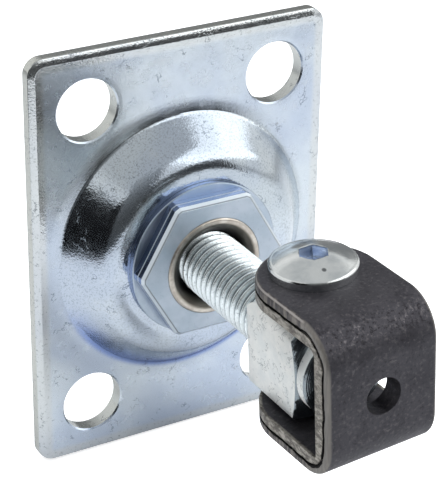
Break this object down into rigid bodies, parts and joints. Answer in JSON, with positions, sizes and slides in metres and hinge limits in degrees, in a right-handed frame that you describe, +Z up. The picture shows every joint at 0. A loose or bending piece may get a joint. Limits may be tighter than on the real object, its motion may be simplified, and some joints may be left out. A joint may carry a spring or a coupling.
{
  "type": "adjustable gate hinge",
  "caption": "Adjustable gate hinge: a domed screw-on plate with a turning hexagon that moves an eye bolt in and out, and a folded weld-on bracket that swings on the eye's pin.",
  "frame": {"origin": "middle of the mounting plate's back face, on the axis of the eye bolt", "axes": "+X across the plate, +Y into the post behind the plate, +Z up along the plate's long side; the eye bolt points along -Y"},
  "size_m": [0.0888, 0.1027, 0.12],
  "materials": {
    "plate_zinc": "bright zinc plating",
    "hexagon_zinc": "bright zinc plating on machined steel",
    "bush_steel": "turned steel with a warm tint",
    "eye_zinc": "matt zinc plating on a rough forging",
    "bracket_raw_steel": "raw rolled steel with mill scale",
    "pin_zinc": "polished zinc plating"
  },
  "bodies": {
    "plate": {"mounting_plate": "plate_zinc"},
    "adjuster": {"thrust_washer": "hexagon_zinc", "adjusting_hexagon": "hexagon_zinc", "threaded_bush": "bush_steel"},
    "eye": {"eye_bolt": "eye_zinc"},
    "bracket": {"gate_bracket": "bracket_raw_steel", "hinge_pin": "pin_zinc"}
  },
  "joints": [
    {"name": "adjuster_turn", "type": "hinge", "parent": "plate", "child": "adjuster", "pos_m": [0, 0, 0], "axis": [0, 1, 0], "range_deg": [-4320, 720]},
    {"name": "eye_slide", "type": "slide", "parent": "plate", "child": "eye", "axis": [0, -1, 0], "range_m": [-0.03, 0.005]},
    {"name": "bracket_swing", "type": "hinge", "parent": "eye", "child": "bracket", "pos_m": [-0.00011, -0.073, 0.00185], "axis": [-0.0593, 0, 0.9982], "range_deg": [-91.65, 88.35]}
  ],
  "couplings": [
    {"joint": "eye_slide", "follows": "adjuster_turn", "m_per_rad": 0.00039788}
  ]
}
